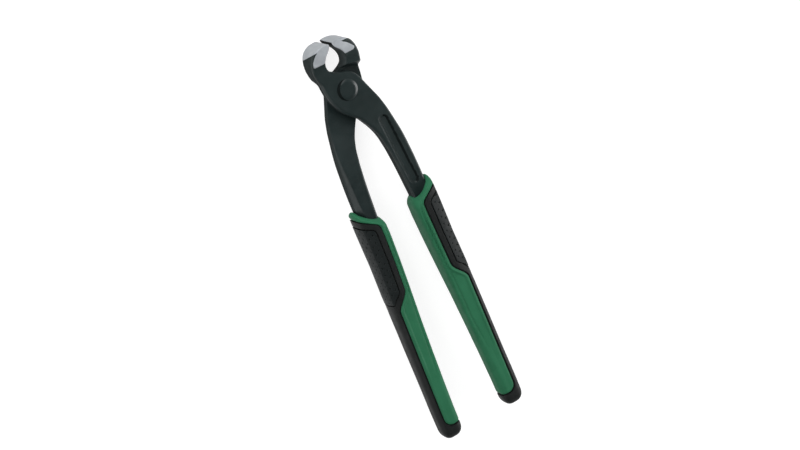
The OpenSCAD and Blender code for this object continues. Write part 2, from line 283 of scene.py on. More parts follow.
def weld(bm, cap_material=0):
    """Closes a mesh, with a material for the faces that close it."""
    bmesh.ops.remove_doubles(bm, verts=bm.verts[:], dist=WELD_NEAR)
    loops = [e for e in bm.edges if e.is_boundary]
    if loops:
        for face in bmesh.ops.holes_fill(bm, edges=loops, sides=0)["faces"]:
            face.material_index = cap_material
    bmesh.ops.recalc_face_normals(bm, faces=bm.faces[:])


def piece(name, bm, node, body, slot, materials, turn=(1, 1, 1), sharp=SHARP_STEEL):
    """Makes an object of a mesh in millimetres, turned by signs of its axes, in the part's frame."""
    for vert in bm.verts:
        vert.co = Vector(PIVOT) + Vector([c * s * MM for c, s in zip(vert.co, turn)])
    bmesh.ops.recalc_face_normals(bm, faces=bm.faces[:])
    mesh = bpy.data.meshes.new(name)
    bm.to_mesh(mesh)
    bm.free()
    for material in materials:
        mesh.materials.append(material)
    mesh.shade_smooth()
    mesh.set_sharp_from_angle(angle=math.radians(sharp))
    obj = bpy.data.objects.new(name, mesh)
    bpy.context.scene.collection.objects.link(obj)
    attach(obj, body)
    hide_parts(node)


# Levers

OUTLINE = (
    [[-EDGE_GAP / 2 - EDGE_LAND, EDGE_H + EDGE_RISE, -EDGE_GAP / 2, EDGE_H + EDGE_RISE - EDGE_LAND]]
    + [[
        -s[0] * HEAD_W / 2, mix(SHOULDER_Y, EDGE_H, s[1]),
        -s[2] * HEAD_W / 2, mix(SHOULDER_Y, EDGE_H, s[3]),
    ] for s in JAW_SHARES]
    + [[c * BOSS_R for c in outer + inner] for outer, inner in zip(LAP_OUTER_SHARES, LAP_INNER_SHARES)]
    + [[s[0] * GRIP_X, -s[1] * ARM_REACH, s[2] * GRIP_X, -s[3] * ARM_REACH] for s in ARM_SHARES]
)
LAST_ROW = len(OUTLINE) - 1
FIRST_LAP_ROW = 1 + len(JAW_SHARES)
FIRST_ARM_ROW = FIRST_LAP_ROW + len(LAP_OUTER_SHARES)
LAP_COUNT = len(LAP_OUTER_SHARES)

JAW_HEIGHTS = [mix(JOINT_T, JAW_T, s) / 2 for s in FLARE_SHARES]
TOPS = JAW_HEIGHTS + [JOINT_T / 2] * LAP_COUNT + [mix(JOINT_T, ARM_T, s) / 2 for s in STEP_SHARES]
ARM_BOTTOMS = [mix(LAP_FACE, -ARM_T / 2, s) for s in STEP_SHARES]
BOTTOMS = [-h for h in JAW_HEIGHTS] + [LAP_FACE] * LAP_COUNT + ARM_BOTTOMS
JAW_ROUNDS = [s * JAW_ROUND for s in JAW_ROUND_SHARES]
THROAT_ROUNDS = [s * THROAT_ROUND for s in THROAT_ROUND_SHARES]
TOP_ROUNDS = [JOINT_ROUND] * LAP_COUNT + [mix(JOINT_ROUND, ARM_ROUND, s) for s in STEP_SHARES]
OUTER_ROUNDS = [LAP_BEVEL] * LAP_COUNT + [mix(LAP_BEVEL, ARM_ROUND, s) for s in STEP_SHARES]
BOTTOM_ROUNDS = [LAP_BREAK] * LAP_COUNT + [mix(LAP_BREAK, ARM_ROUND, s) for s in STEP_SHARES]

# The eight stretches round a lever's section, and the number of steps in each
TOP, TOP_INNER, INNER, LOW_INNER, LOW, LOW_OUTER, OUTER, TOP_OUTER = range(8)
STRETCH_STEPS = [34, 6, 12, 6, 34, 6, 16, 6]
JAW_STEPS, LAP_STEPS, ARM_STEPS = 12, 9, 30

# Ground faces of the jaws: their lower edges, the black margin left along the outline,
# and the section widths between which the two faces of a jaw part
LOBE_LOW = 20.05
LOBE_MARGINS = [0.4, 1.3]
BACK_LOBE_MARGINS = [1.0, 2.6]
LOBE_ROUND = 2.2
LOBE_MERGE = 0.6
LOBE_MERGE_WIDTHS = [4.5, 7.5]
LOBE_PROUD = 0.22
LOBE_STEP = 0.5
OUTER_LOBE_LOW = 25.7
OUTER_LOBE_TILT = 0.26
OFF_GROUND = -0.5
# Rows from the cutting edge along which the jaws' inner faces line the slot and get painted shade
SLOT_END_ROW = 0.8

# Places of the steels in a lever's list, where the throat's and the sides' lighter steels are painted light
# and the last, near-black steel is painted shade, and of that painted-shade steel in the rivet's list
FORGED, GROUND, THROAT, SIDE, PAINTED_SHADE = range(5)
RIVET_SHADE = 1


class LeverPoints:
    """Points of the front lever at stretches u round its section and row numbers t along it."""

    def __init__(self, u, t):
        self.t = t
        self.stretch = np.floor(u).astype(int) % len(STRETCH_STEPS)
        self.share = u - np.floor(u)
        edges = curve(OUTLINE, t)
        outer, inner = edges[:, :2], edges[:, 2:]
        self.width = np.linalg.norm(inner - outer, axis=1)
        top, low = smooth_run(TOPS, t), smooth_run(BOTTOMS, t)
        outer_top = run(JAW_ROUNDS + OUTER_ROUNDS, t)
        inner_top = run(THROAT_ROUNDS + TOP_ROUNDS, t)
        outer_low = run(JAW_ROUNDS + BOTTOM_ROUNDS, t)
        inner_low = run(THROAT_ROUNDS + BOTTOM_ROUNDS, t)
        to_grip = ease((t - FIRST_ARM_ROW) / (LAST_ROW - FIRST_ARM_ROW))
        bevel_w = inner_low + (ARM_BEVEL_W - ARM_ROUND) * to_grip
        bevel_h = inner_low + (ARM_BEVEL_H - ARM_ROUND) * to_grip
        f, w = self.share, self.width
        turn = f * math.pi / 2
        sine, cosine = np.sin(turn), np.cos(turn)
        self.across = np.choose(self.stretch, [
            mix(outer_top, w - inner_top, f), w - inner_top * (1 - sine),
            w, w - bevel_w * mix(1 - cosine, f, to_grip),
            mix(w - bevel_w, outer_low, f), outer_low * (1 - sine),
            0 * w, outer_top * (1 - cosine),
        ])
        self.z = np.choose(self.stretch, [
            top, top - inner_top * (1 - cosine),
            mix(top - inner_top, low + bevel_h, f), low + bevel_h * mix(1 - sine, 1 - f, to_grip),
            low, low + outer_low * (1 - cosine),
            mix(low + outer_low, top - outer_top, f), top - outer_top * (1 - sine),
        ])
        self.xy = outer + (inner - outer) * (self.across / w)[:, None]

    def ground(self, tilt):
        """Distance inside the ground faces, which rise to one side by a tilt: above zero on bright steel."""
        y = self.xy[:, 1]
        outer_lobe = y - OUTER_LOBE_LOW - tilt * self.z
        up = ease((y - LOBE_LOW) / (OUTER_LOBE_LOW - LOBE_LOW))
        margin = np.where(self.stretch == LOW, mix(*BACK_LOBE_MARGINS, up), mix(*LOBE_MARGINS, up))
        merge_start, merge_end = LOBE_MERGE_WIDTHS
        margin = mix(-LOBE_MERGE, margin, ease((self.width - merge_start) / (merge_end - merge_start)))
        face_lobe = round_corner(self.across - margin, y - LOBE_LOW, LOBE_ROUND)
        lobe = np.maximum(outer_lobe, face_lobe)
        flat = np.full_like(y, OFF_GROUND)
        inside = np.choose(self.stretch, [
            lobe, mix(lobe, flat, self.share), flat, mix(flat, lobe, self.share),
            lobe, outer_lobe, outer_lobe, outer_lobe,
        ])
        return np.where(self.t < FIRST_LAP_ROW, inside, OFF_GROUND)

    def panel_side(self):
        """Distance outwards from the middle line of the recessed panel in the arm's face."""
        x, y = self.xy.T
        run_share = (y - PANEL_START) / (PANEL_END - PANEL_START)
        return (x - GRIP_X * look_up(PANEL_MIDDLE_SHARES, run_share)) * PANEL_LEAN

    def panel(self):
        """Depth of the recessed panel, whose inner wall is the flatter one."""
        y = self.xy[:, 1]
        aside = self.panel_side()
        past = np.maximum(np.maximum(y - PANEL_START, PANEL_END - y) + PANEL_HALF_W, 0)
        inside = PANEL_HALF_W - np.hypot(aside, past)
        wall = mix(*PANEL_WALLS, ease(aside / PANEL_HALF_W / 2 + 0.5))
        on_arm = (self.stretch == TOP) & (self.t > FIRST_LAP_ROW)
        return np.where(on_arm, PANEL_DEPTH * ease(inside / wall), 0)

    def points(self, tilt):
        z = self.z - self.panel()
        proud = LOBE_PROUD * ease(self.ground(tilt) / LOBE_STEP)
        z = z + np.where(self.stretch == TOP, proud, 0) - np.where(self.stretch == LOW, proud, 0)
        return np.column_stack([self.xy, z])


def lever_mesh(tilt):
    """Front lever with the outer ground face of its jaw tilted, its bore and its steels."""
    stretches = [k + np.arange(n) / n for k, n in enumerate(STRETCH_STEPS)]
    us = np.concatenate(stretches + [[len(STRETCH_STEPS)]])
    vs = np.concatenate([
        np.arange(0, FIRST_LAP_ROW, 1 / JAW_STEPS),
        np.arange(FIRST_LAP_ROW, FIRST_ARM_ROW, 1 / LAP_STEPS),
        np.arange(FIRST_ARM_ROW, LAST_ROW, 1 / ARM_STEPS),
        [LAST_ROW],
    ])
    bm = flat_sheet(us, vs)

    def ground(u, t):
        return LeverPoints(u, t).ground(tilt)

    def from_bore(u, t):
        return np.linalg.norm(LeverPoints(u, t).xy, axis=1) - BORE_R

    cut(bm, ground, [0, LOBE_STEP])
    cut(bm, from_bore, [0], keep="above")
    u, t = flat_points(bm)
    lever = LeverPoints(u, t)
    facts = np.column_stack([u, t, lever.ground(tilt), lever.panel() / PANEL_DEPTH, lever.panel_side()])
    bm.verts.index_update()
    for face in bm.faces:
        face.material_index = steel_of(*np.mean([facts[v.index] for v in face.verts], axis=0))
    lay(bm, lever.points(tilt))
    bmesh.ops.remove_doubles(bm, verts=bm.verts[:], dist=WELD_NEAR)
    bmesh.ops.bridge_loops(bm, edges=[e for e in bm.edges if e.is_boundary and at_bore(e)])
    # The caps that close the lever, among them the cutting edge's end, get the near-black painted-shade
    # steel
    weld(bm, PAINTED_SHADE)
    return bm


def steel_of(u, t, inside_ground, panel_depth, panel_side):
    """Steel of a face at its middle: painted shade on the slot and the panel's outer wall, and lighter
    steels as painted light on the throat, the sides and the panel's inner wall.
    """
    stretch = int(u)
    # The slot's faces get painted shade and the rest of the throat a lighter, matter steel as painted light
    if stretch == INNER and t < FIRST_LAP_ROW:
        return PAINTED_SHADE if t < SLOT_END_ROW else THROAT
    if inside_ground > 0:
        return GROUND
    # The side faces get a lighter copy of the steel with a weaker reflection, as painted light
    if stretch in (INNER, OUTER):
        return SIDE
    # Painted shade on the panel's outer wall, and the sides' lighter steel as painted light on its inner
    # wall
    on_wall = PANEL_SHADE_DEPTHS[0] < panel_depth < PANEL_SHADE_DEPTHS[1]
    if on_wall and abs(panel_side) > PANEL_SHADE_START:
        return PAINTED_SHADE if panel_side > 0 else SIDE
    return FORGED


def at_bore(edge):
    return max(np.hypot(*v.co[:2]) for v in edge.verts) < BORE_R + BORE_NEAR


# Rivet

def rivet_mesh():
    """Two soft-rimmed, faintly dished heads on a shank, turned about the pivot axis."""
    seat = JOINT_T / 2
    head = [(SHANK_R, seat), (RIVET_HEAD_R - RIVET_EDGE / 2, seat)]
    for s in RIVET_RIM_STEPS:
        fall = RIVET_RIM_H * s**RIVET_RIM_POWER
        head.append((RIVET_HEAD_R - RIVET_RIM_W * (1 - s), seat + RIVET_HEAD_H - fall))
    flat_r = RIVET_HEAD_R - RIVET_RIM_W
    for s in RIVET_DISH_STEPS:
        head.append((flat_r * s, seat + RIVET_HEAD_H - RIVET_DISH * (1 - ease(s))))
    profile = [(r, -z) for r, z in reversed(head)] + head
    turns = np.linspace(0, 2 * math.pi, RIVET_SIDES + 1)
    bm = flat_sheet(turns, range(len(profile)))
    a, row = flat_points(bm)
    r, z = (np.interp(row, range(len(profile)), column) for column in np.array(profile).T)
    lay(bm, np.column_stack([r * np.cos(a), r * np.sin(a), z]))
    # A crescent of the rim gets the near-black steel: painted shade where the head's shadow falls
    for face in bm.faces:
        x, y, _ = face.calc_center_median()
        facing = math.cos(math.atan2(y, x) - math.radians(RIVET_SHADE_ANGLE))
        if math.hypot(x, y) > RIVET_HEAD_R - RIVET_SHADE_W * max(facing, 0):
            face.material_index = RIVET_SHADE
    weld(bm)
    return bm


# Grips: a point is named by the angle round the section from the outer side, in degrees,
# and by the length l from the mouth

# Rolled edges of the layers, the grooves between them and the rounds of their corners
EDGE_ROLL = 1.7
EDGE_ROLL_DEPTH = 0.85
EDGE_ROLL_POWER = 1.4
LAYER_ROLL = 0.6
SEAM_GROOVE = 1.1
PAD_GROOVE = 0.85
GROOVE_WALL = 0.06
GROOVE_PLAY = 0.05
PAD_ROLL = 0.6
ROLL_SHARES = [0.12, 0.35, 0.65, 1.0, 1.5]
SEAM_TOP_ROUND = 2.6
SEAM_END_ROUND = 5.2
PAD_TOP_ROUND = 1.6
PAD_END_ROUND = 1.5
PAD_PROUD = 0.25

# Shallow field in the green face, between a fine groove along its inner ridge and the lip along the seam
FIELD_DEPTH = 0.65
FIELD_WALL = 0.9
FIELD_LIP = 2.0
FIELD_START_L = 9
FIELD_FADE_SHARES = [0.6, 0.76]
RIDGE_SHARES = [
    [0, -0.75], [0.1, -0.84], [0.2, -0.9], [0.37, -0.86],
    [0.6, -0.84], [0.75, -0.62], [0.87, -0.5], [1, -0.45],
]
RIDGE_GROOVE_SETBACK = 1.5
RIDGE_GROOVE_W = 0.75
RIDGE_GROOVE_DEPTH = 0.45
RIDGE_LIFT = 0.35
RIDGE_SPREAD = 3
RIDGE_LIFT_RUN_SHARE = 0.1
RIDGE_LIFT_EDGE = 1.5

# Dots of the pad, in rows counted from the crease
DOT_PITCH = 4.4
DOT_START_L = 12.5
DOT_ROW = 2.5
DOT_SETBACK = 0.9
DOT_R = 0.55
DOT_DEPTH = 0.75
DOT_EDGE = 0.6
DOT_FADE = 0.3

# Steps of the grip's sheets along it, in millimetres or counts, and round it, in counts or degrees
GRIP_STEP = 0.45
SIDES = 132
MOUTH_STEPS = 6
COLLAR_STEPS = 11
END_STEPS = 17
END_LAST_ANGLE = 88
PAD_STEP = 0.22
PAD_MARGIN = 0.5
PAD_SPREAD = 120
PAD_ANGLE_STEP = 0.9

# The mouth turns inwards over a run and falls by a share of it
MOUTH_RUN = 2.5
MOUTH_FALL_SHARE = 0.6

# Least half sizes of a section, the deepest relief in it, and the angle to the points that give its slope
LEAST_HALF = 0.05
LEAST_TABLE_HALF = 0.01
DEEPEST_SHARE = 0.6
SLOPE_ANGLE = 0.5

# How near the sheet's inner seam, in degrees, and the grip's end an edge counts as part of them
SEAM_NEAR = 0.001
END_NEAR = 1

# Tables of lengths round the grip, by rows along it and angles round it
TABLE_ROWS = np.linspace(0, GRIP_L, 500)
TABLE_ANGLES = np.linspace(0, 180, 241)


def collar_draw(l):
    e = np.clip(1 - l / COLLAR_L, 0, 1)
    return 1 - np.sqrt(1 - e * e)


def end_scale(l):
    e = np.clip((l - GRIP_L) / END_ROUND_L + 1, 0, 1)
    return (1 - e**END_POWER) ** (1 / END_POWER)


def grip_halves(l):
    """Half width and half thickness of the grip."""
    v = np.clip(l / GRIP_L, 0, 1)
    half_w = mix(GRIP_TOP_W, GRIP_END_W, look_up(WIDTH_SHARES, v)) / 2 - COLLAR_IN_W * collar_draw(l)
    half_t = mix(GRIP_TOP_T, GRIP_END_T, look_up(THICKNESS_SHARES, v)) / 2 - COLLAR_IN_T * collar_draw(l)
    return half_w * end_scale(l), half_t * end_scale(l)


def section(angle, half_w, half_t, l):
    """Point of the section: a creased front and side on the outer half, a rounded box on the inner half."""
    v = np.clip(l / GRIP_L, 0, 1)
    turn = np.abs(angle)
    along_front = np.clip((90 - turn) / (90 - CREASE_ANGLE), 0, 1)
    up_side = np.clip(turn / CREASE_ANGLE, 0, 1)
    on_front = turn > CREASE_ANGLE
    crease_x = np.where(on_front, along_front * CREASE_X_SHARE, 1 - (1 - CREASE_X_SHARE) * up_side**2)
    front_z = 1 - (1 - CREASE_Z_SHARE) * along_front**CREASE_Z_POWER
    crease_z = np.where(on_front, front_z, up_side * CREASE_Z_SHARE)
    round_x, round_z = rounded_box(turn, half_w, half_t, SIDE_POWER)
    rounding = ease((v - CREASE_RUN_SHARES[0]) / (CREASE_RUN_SHARES[1] - CREASE_RUN_SHARES[0]))
    outer_x = mix(crease_x * half_w, round_x, rounding)
    outer_z = mix(crease_z * half_t, round_z, rounding)
    inner_x, inner_z = rounded_box(turn, half_w, half_t, look_up(INNER_POWER_SHARES, v))
    outside = turn < 90
    return np.where(outside, outer_x, inner_x), np.sign(angle) * np.where(outside, outer_z, inner_z)


def rounded_box(angle, half_w, half_t, power):
    """Point of a rounded box section in a direction from its middle."""
    c, s = np.cos(np.radians(angle)), np.abs(np.sin(np.radians(angle)))
    r = (np.abs(c / half_w) ** power + np.abs(s / half_t) ** power) ** (-1 / power)
    return r * c, r * s


def around_table():
    """Length round the section from the outer side to each angle, for each row of the table."""
    half_w, half_t = (np.maximum(h, LEAST_TABLE_HALF)[:, None] for h in grip_halves(TABLE_ROWS))
    x, z = section(TABLE_ANGLES[None, :], half_w, half_t, TABLE_ROWS[:, None])
    steps = np.hypot(np.diff(x, axis=1), np.diff(z, axis=1))
    return np.concatenate([np.zeros((len(TABLE_ROWS), 1)), np.cumsum(steps, axis=1)], axis=1)


AROUND = around_table()


def around(angle, l):
    i = np.clip(l / GRIP_L, 0, 1) * (len(TABLE_ROWS) - 1)
    j = np.abs(angle) / 180 * (len(TABLE_ANGLES) - 1)
    i0 = np.minimum(i.astype(int), len(TABLE_ROWS) - 2)
    j0 = np.minimum(j.astype(int), len(TABLE_ANGLES) - 2)
    fi, fj = i - i0, j - j0
    low = mix(AROUND[i0, j0], AROUND[i0, j0 + 1], fj)
    return mix(low, mix(AROUND[i0 + 1, j0], AROUND[i0 + 1, j0 + 1], fj), fi)


FACE_LAST_ANGLE = 175
FACE_ANGLES = np.linspace(CREASE_ANGLE, FACE_LAST_ANGLE, 120)
TABLE_SHARES = TABLE_ROWS / GRIP_L


def face_line(share):
    """Length round to where the front face has a share of its half width, for each row of the table."""
    half_w, half_t = (np.maximum(h, LEAST_TABLE_HALF)[:, None] for h in grip_halves(TABLE_ROWS))
    x, _ = section(FACE_ANGLES[None, :], half_w, half_t, TABLE_ROWS[:, None])
    angles = np.array([np.interp(-s, -row, FACE_ANGLES) for s, row in zip(share, x / half_w)])
    return around(angles, TABLE_ROWS)


def turn_share(shares):
    return ease((TABLE_SHARES - shares[0]) / (shares[1] - shares[0]))


BELOW_TURN = np.clip((TABLE_SHARES - SEAM_TURN_SHARES[1]) / (1 - SEAM_TURN_SHARES[1]), 0, 1)
LOW_SEAM_SHARES = mix(SEAM_SIDE_SHARES[1], SEAM_SIDE_SHARES[2], BELOW_TURN)
SEAM_LINE = face_line(mix(SEAM_SIDE_SHARES[0], LOW_SEAM_SHARES, turn_share(SEAM_TURN_SHARES)))
PAD_LINE = face_line(mix(*PAD_SIDE_SHARES, turn_share(PAD_TURN_SHARES)))
RIDGE_LINE = face_line(look_up(RIDGE_SHARES, TABLE_SHARES))


def beside(line, angle, l):
    """Distance from a line along the grip, above zero on its inner side."""
    slope = np.interp(l, TABLE_ROWS, np.gradient(line, TABLE_ROWS))
    return (around(angle, l) - np.interp(l, TABLE_ROWS, line)) / np.sqrt(1 + slope * slope)


def seam(angle, l):
    """Distance from the seam of the black layer: above zero on the green."""
    l = np.maximum(l, 0)
    layer = round_corner(-beside(SEAM_LINE, angle, l), l - COLLAR_L, SEAM_TOP_ROUND)
    return round_corner(-layer, GRIP_L - END_CAP_L - l, SEAM_END_ROUND)


def pad_seam(angle, l):
    """Distance from the edge of the pad: above zero outside it."""
    l = np.maximum(l, 0)
    side = -beside(PAD_LINE, angle, l)
    top = round_corner(side, l - PAD_START_L, PAD_TOP_ROUND)
    return -round_corner(top, PAD_END_L - l, PAD_END_ROUND)


def roll(distance, r):
    """Depth of a round edge at a distance from it."""
    d = np.clip(distance, 0, r)
    return r - np.sqrt(r * r - (r - d) ** 2)


def slope_off(distance):
    """Depth of the green face's broad sloping edge at a distance from it."""
    return EDGE_ROLL_DEPTH * (1 - np.clip(distance / EDGE_ROLL, 0, 1)) ** EDGE_ROLL_POWER


def grip_points(angle, l, depth):
    """Points a depth below the right grip's surface. Rows before the mouth turn into it."""
    mouth = np.clip(-l, 0, None)
    row = np.maximum(l, 0)
    v = row / GRIP_L
    inward = MOUTH_RUN * ease(mouth / MOUTH_RUN)
    half_w, half_t = (np.maximum(h - inward, LEAST_HALF) for h in grip_halves(row))
    x, z = section(angle, half_w, half_t, row)
    ahead = section(angle + SLOPE_ANGLE, half_w, half_t, row)
    behind = section(angle - SLOPE_ANGLE, half_w, half_t, row)
    nz, nx = behind[0] - ahead[0], ahead[1] - behind[1]
    size = np.hypot(nx, nz)
    depth = np.minimum(depth, DEEPEST_SHARE * np.minimum(half_w, half_t))
    x, z = x - depth * nx / size, z - depth * nz / size
    middle = GRIP_X + GRIP_SPLAY * look_up(SPLAY_SHARES, v)
    slope = MOUTH_SLOPE * (1 - ease(v / SLOPE_RUN_SHARE))
    dip = MOUTH_DIP * np.sin(np.radians(angle)) ** 2 * np.clip(1 - row / COLLAR_L, 0, 1)
    y = -ARM_REACH - row - dip - MOUTH_FALL_SHARE * mouth + slope * x
    return np.column_stack([middle + x, y, z])


def green_depth(angle, l):
    """Relief of the green face: its rolled edge, its ridge and groove, and its shallow field."""
    edge = seam(angle, l)
    row = np.maximum(l, 0)
    past_ridge = beside(RIDGE_LINE, angle, row)
    fade = 1 - ease((row / GRIP_L - FIELD_FADE_SHARES[0]) / (FIELD_FADE_SHARES[1] - FIELD_FADE_SHARES[0]))
    fade = fade * ease((row - COLLAR_L) / (FIELD_START_L - COLLAR_L))
    from_groove = np.abs(past_ridge + RIDGE_GROOVE_SETBACK)
    groove = RIDGE_GROOVE_DEPTH * np.clip(1 - from_groove / RIDGE_GROOVE_W, 0, 1)
    field = FIELD_DEPTH * ease((edge - FIELD_LIP) / FIELD_WALL) * ease(-past_ridge / FIELD_WALL)
    lift = RIDGE_LIFT * np.clip(1 - np.abs(past_ridge) / RIDGE_SPREAD, 0, 1) * (1 - fade)
    lift = lift * ease((row / GRIP_L - FIELD_FADE_SHARES[0]) / RIDGE_LIFT_RUN_SHARE)
    return slope_off(edge) + (groove + field) * fade - lift * ease(edge / RIDGE_LIFT_EDGE)


def black_edge(distance, groove_depth):
    """Depth of the black layer's rolled edge and of the groove beyond it."""
    groove = groove_depth * np.clip((HALF_GAP - distance) / GROOVE_WALL, 0, 1)
    return np.maximum(roll(distance, LAYER_ROLL), groove)


def black_depth(angle, l):
    """Relief of the black layer: its edges along the green and along the pad."""
    return black_edge(-seam(angle, l), SEAM_GROOVE) + black_edge(pad_seam(angle, l), PAD_GROOVE)


def pad_depth(angle, l):
    """Relief of the pad: its rolled edge and its staggered dots."""
    edge = -pad_seam(angle, l)
    crease = around(np.full_like(l, CREASE_ANGLE), l)
    side = (around(angle, l) - crease + DOT_SETBACK) / DOT_ROW
    rows = np.round(side)
    along = (l - DOT_START_L) / DOT_PITCH + rows % 2 / 2
    apart = np.hypot((side - rows) * DOT_ROW, (along - np.round(along)) * DOT_PITCH)
    dots = np.clip(1 - (apart / DOT_R) ** 2, 0, 1) ** 2 * ease((edge - DOT_EDGE) / DOT_FADE)
    proud = PAD_PROUD * np.cos(np.radians(angle)) ** 2 * ease(edge / PAD_ROLL)
    return roll(edge, PAD_ROLL) + DOT_DEPTH * dots - proud


def even_steps(first, last, step):
    """Even values from the first to the last, about a step apart."""
    return np.linspace(first, last, round((last - first) / step) + 1)


def shell(outer, depth, thickness):
    """Closed layer: a cut sheet laid on the grip, its walls, and the same sheet a thickness below."""
    inner = outer.copy()
    angle, l = flat_points(outer)
    skirt = skirt_of(outer)
    lay(outer, grip_points(angle, l, depth(angle, l)))
    angle, l = flat_points(inner)
    lay(inner, grip_points(angle, l, np.full_like(l, thickness)))
    add_skirt(outer, skirt, depth, thickness)
    join(outer, inner)
    weld(outer)
    return outer


def skirt_of(bm):
    """Flat ends of the boundary edges of a sheet, without its seam at the inner side and its end rows."""
    ls = [v.co.y for v in bm.verts]
    low, high = min(ls), max(ls)
    edges = []
    for e in bm.edges:
        a, b = (v.co.to_2d() for v in e.verts)
        at_inner = min(abs(a.x), abs(b.x)) > 180 - SEAM_NEAR
        at_end = high > GRIP_L - END_NEAR and min(a.y, b.y) > high - WELD_NEAR
        at_mouth = low < 0 and max(a.y, b.y) < low + WELD_NEAR
        if e.is_boundary and not (at_inner or at_end or at_mouth):
            edges.append((tuple(a), tuple(b)))
    return np.array(edges, float)


def add_skirt(bm, edges, depth, thickness):
    """Walls from the edges of the laid sheet down to a thickness below the surface."""
    for a, b in edges:
        angle, l = np.array([a, b, b, a]).T
        depths = np.concatenate([depth(angle[:2], l[:2]), [thickness, thickness]])
        bm.faces.new([bm.verts.new(p) for p in grip_points(angle, l, depths)])


ANGLES = np.linspace(-180, 180, SIDES + 1)
END_TURNS = np.radians(np.linspace(0, END_LAST_ANGLE, END_STEPS + 1))
END_ROWS = GRIP_L - END_ROUND_L * (1 - np.sin(END_TURNS))
COLLAR_TURNS = np.radians(np.linspace(0, 90, COLLAR_STEPS + 1))
COLLAR_ROWS = COLLAR_L * (1 - np.cos(COLLAR_TURNS))
MOUTH_ROWS = -np.linspace(MOUTH_RUN, 0, MOUTH_STEPS + 1)
BODY_ROWS = even_steps(COLLAR_L, GRIP_L - END_ROUND_L, GRIP_STEP)
GRIP_ROWS = np.concatenate([MOUTH_ROWS[:-1], COLLAR_ROWS[:-1], BODY_ROWS[:-1], END_ROWS])


def sleeve_mesh():
    """Green sleeve: its face, the wall of its edge and the floor under the black layer."""
    face = flat_sheet(ANGLES, GRIP_ROWS)
    floor = face.copy()
    cut(face, seam, [HALF_GAP], keep="above")
    cut(floor, seam, [HALF_GAP], keep="below")
    cut(face, seam, [EDGE_ROLL * s for s in ROLL_SHARES])
    skirt = skirt_of(face)
    angle, l = flat_points(face)
    lay(face, grip_points(angle, l, green_depth(angle, l)))
    add_skirt(face, skirt, green_depth, LAYER_T)
    angle, l = flat_points(floor)
    lay(floor, grip_points(angle, l, np.full_like(l, LAYER_T)))
    join(face, floor)
    weld(face)
    return face


def overmould_mesh():
    """Black layer with its rounded end, open under the pad, with ledges in the grooves along its edges."""
    bm = flat_sheet(ANGLES, GRIP_ROWS[GRIP_ROWS >= 0])
    cut(bm, seam, [HALF_GAP - GROOVE_PLAY], keep="below")
    cut(bm, seam, [-HALF_GAP, GROOVE_WALL - HALF_GAP, -LAYER_ROLL, -LAYER_ROLL * ROLL_SHARES[-1]])
    cut(bm, pad_seam, [GROOVE_PLAY - HALF_GAP], keep="above")
    cut(bm, pad_seam, [HALF_GAP, HALF_GAP - GROOVE_WALL, LAYER_ROLL, LAYER_ROLL * ROLL_SHARES[-1]])
    return shell(bm, black_depth, LAYER_T - SEAM_GAP)


def pad_mesh():
    """Dotted pad."""
    angles = even_steps(-PAD_SPREAD, PAD_SPREAD, PAD_ANGLE_STEP)
    bm = flat_sheet(angles, even_steps(PAD_START_L - PAD_MARGIN, PAD_END_L + PAD_MARGIN, PAD_STEP))
    cut(bm, pad_seam, [-HALF_GAP], keep="below")
    cut(bm, pad_seam, [-PAD_ROLL * s for s in ROLL_SHARES])
    return shell(bm, pad_depth, PAD_T)


# Materials

def new_material(name):
    material = bpy.data.materials.new(name)
    material.use_nodes = True
    nodes = material.node_tree.nodes
    shader = nodes["Principled BSDF"]
    return material, nodes, material.node_tree.links, shader


def noise(nodes, links, scale, detail=4, stretch=None):
    """Noise in the part's own coordinates, in waves per metre."""
    where = nodes.new("ShaderNodeTexCoord").outputs["Object"]
    if stretch:
        mapping = nodes.new("ShaderNodeMapping")
        mapping.inputs["Scale"].default_value = stretch
        links.new(where, mapping.inputs["Vector"])
        where = mapping.outputs["Vector"]
    made = nodes.new("ShaderNodeTexNoise")
    made.inputs["Scale"].default_value = scale
    made.inputs["Detail"].default_value = detail
    links.new(where, made.inputs["Vector"])
    return made.outputs["Fac"]


def ramp(nodes, links, value, low, high, socket, start=0.35, end=0.65):
    """Runs a socket between two colours or numbers as a value rises."""
    made = nodes.new("ShaderNodeValToRGB")
    for element, place, colour in zip(made.color_ramp.elements, (start, end), (low, high)):
        element.position = place
        element.color = (*(colour if hasattr(colour, "__len__") else [colour] * 3), 1)
    links.new(value, made.inputs["Fac"])
    links.new(made.outputs["Color"], socket)


def bump(nodes, links, value, shader, strength, height):
    made = nodes.new("ShaderNodeBump")
    made.inputs["Strength"].default_value = strength
    made.inputs["Distance"].default_value = height
    links.new(value, made.inputs["Height"])
    links.new(made.outputs["Normal"], shader.inputs["Normal"])


GRAIN_STRENGTH = 0.6
GRAIN_DETAIL = 3
ROUGH_DRIFT = 3


def finish_material(
    name, low, high, rough, grain, grain_height, specular, metallic=0, blotch=90, stretch=None,
):
    """Surface with a slow drift of colour, a faster drift of roughness and a fine grain."""
    material, nodes, links, shader = new_material(name)
    ramp(nodes, links, noise(nodes, links, blotch), low, high, shader.inputs["Base Color"])
    ramp(nodes, links, noise(nodes, links, blotch * ROUGH_DRIFT), *rough, shader.inputs["Roughness"])
    fine = noise(nodes, links, grain, GRAIN_DETAIL, stretch)
    bump(nodes, links, fine, shader, GRAIN_STRENGTH, grain_height)
    shader.inputs["Specular IOR Level"].default_value = specular
    shader.inputs["Metallic"].default_value = metallic
    return material


BLACK_STEEL = finish_material(
    "black_steel", low=(0.0075, 0.013, 0.013), high=(0.0105, 0.017, 0.017), rough=(0.38, 0.46),
    grain=2600, grain_height=0.00002, specular=0.22,
)
GROUND_STEEL = finish_material(
    "ground_steel", low=(0.262, 0.28, 0.298), high=(0.305, 0.322, 0.338), rough=(0.56, 0.66),
    grain=900, grain_height=0.00001, specular=0.25, metallic=0.2, blotch=140, stretch=(1, 6, 1),
)
